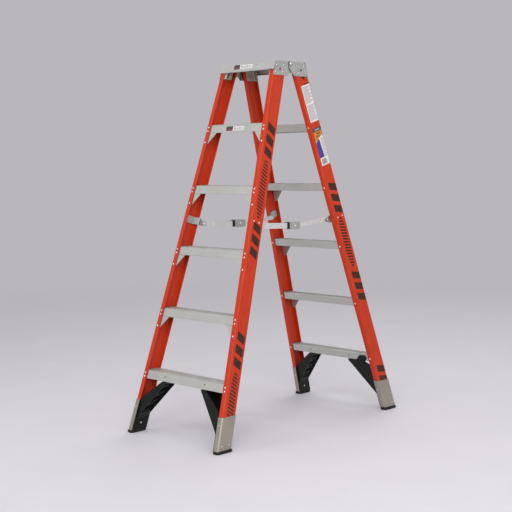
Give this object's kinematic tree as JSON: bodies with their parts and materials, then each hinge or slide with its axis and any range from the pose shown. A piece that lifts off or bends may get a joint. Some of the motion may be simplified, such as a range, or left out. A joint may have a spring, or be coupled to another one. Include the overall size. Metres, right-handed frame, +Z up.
{
  "type": "twin step ladder",
  "caption": "Free-standing double-sided step ladder with orange-red fibreglass rails, ribbed aluminium steps, folding spreaders, hinged split top and rubber feet.",
  "frame": {"origin": "on the floor, in the middle of the four feet", "axes": "+Z up; +Y from the front frame to the rear frame; +X to the right as seen from the front"},
  "size_m": [0.6352, 1.2756, 1.754],
  "materials": {
    "fibreglass": "satin",
    "aluminium": "satin",
    "boot_aluminium": "satin",
    "zinc_steel": "satin",
    "link_steel": "satin",
    "rivet_metal": "satin",
    "black_plastic": "satin",
    "rubber": "matte"
  },
  "bodies": {
    "front_frame": {"front_boot_left": "boot_aluminium", "front_boot_right": "boot_aluminium", "front_brace_left": "black_plastic", "front_brace_right": "black_plastic", "front_foot_pad_left": "rubber", "front_foot_pad_right": "rubber", "front_foot_rivets": "rivet_metal", "front_gussets": "aluminium", "front_hinge_plates": "zinc_steel", "front_rail_left": "fibreglass", "front_rail_right": "fibreglass", "front_spreader_bracket_left": "zinc_steel", "front_spreader_bracket_right": "zinc_steel", "front_spreader_rivets": "rivet_metal", "front_step_1": "aluminium", "front_step_2": "aluminium", "front_step_3": "aluminium", "front_step_4": "aluminium", "front_step_5": "aluminium", "front_step_rivets": "rivet_metal", "front_top": "aluminium", "front_top_brackets": "aluminium", "front_top_rivets": "rivet_metal", "hinge_pins": "rivet_metal"},
    "rear_frame": {"rear_boot_left": "boot_aluminium", "rear_boot_right": "boot_aluminium", "rear_brace_left": "black_plastic", "rear_brace_right": "black_plastic", "rear_foot_pad_left": "rubber", "rear_foot_pad_right": "rubber", "rear_foot_rivets": "rivet_metal", "rear_gussets": "aluminium", "rear_hinge_plates": "zinc_steel", "rear_rail_left": "fibreglass", "rear_rail_right": "fibreglass", "rear_spreader_bracket_left": "zinc_steel", "rear_spreader_bracket_right": "zinc_steel", "rear_spreader_rivets": "rivet_metal", "rear_step_1": "aluminium", "rear_step_2": "aluminium", "rear_step_3": "aluminium", "rear_step_4": "aluminium", "rear_step_5": "aluminium", "rear_step_rivets": "rivet_metal", "rear_top": "aluminium", "rear_top_brackets": "aluminium", "rear_top_rivets": "rivet_metal"},
    "left_front_link": {"spreader_centre_pin_left": "rivet_metal", "spreader_clevis_left": "zinc_steel", "spreader_collar_left": "black_plastic", "spreader_front_link_left": "link_steel"},
    "right_front_link": {"spreader_centre_pin_right": "rivet_metal", "spreader_clevis_right": "zinc_steel", "spreader_collar_right": "black_plastic", "spreader_front_link_right": "link_steel"},
    "left_rear_link": {"spreader_rear_link_left": "link_steel", "spreader_rear_link_rivet_left": "rivet_metal"},
    "right_rear_link": {"spreader_rear_link_right": "link_steel", "spreader_rear_link_rivet_right": "rivet_metal"}
  },
  "joints": [
    {"name": "fold", "type": "hinge", "parent": "front_frame", "child": "rear_frame", "pos_m": [0, 0, 1.742], "axis": [-1, 0, 0], "range_deg": [0, 33]},
    {"name": "left_spreader_front", "type": "hinge", "parent": "front_frame", "child": "left_front_link", "pos_m": [0, -0.24, 0.983], "axis": [1, 0, 0], "range_deg": [0, 72.2]},
    {"name": "left_spreader_centre", "type": "hinge", "parent": "left_front_link", "child": "left_rear_link", "pos_m": [0, 0.004, 0.974], "axis": [-1, 0, 0], "range_deg": [0, 178.9]},
    {"name": "right_spreader_front", "type": "hinge", "parent": "front_frame", "child": "right_front_link", "pos_m": [0, -0.24, 0.983], "axis": [1, 0, 0], "range_deg": [0, 72.2]},
    {"name": "right_spreader_centre", "type": "hinge", "parent": "right_front_link", "child": "right_rear_link", "pos_m": [0, 0.004, 0.974], "axis": [-1, 0, 0], "range_deg": [0, 178.9]}
  ],
  "couplings": [
    {"joint": "left_spreader_front", "follows": "fold", "ratio": 2.1851},
    {"joint": "left_spreader_centre", "follows": "fold", "ratio": 5.4165},
    {"joint": "right_spreader_front", "follows": "fold", "ratio": 2.1851},
    {"joint": "right_spreader_centre", "follows": "fold", "ratio": 5.4165}
  ]
}
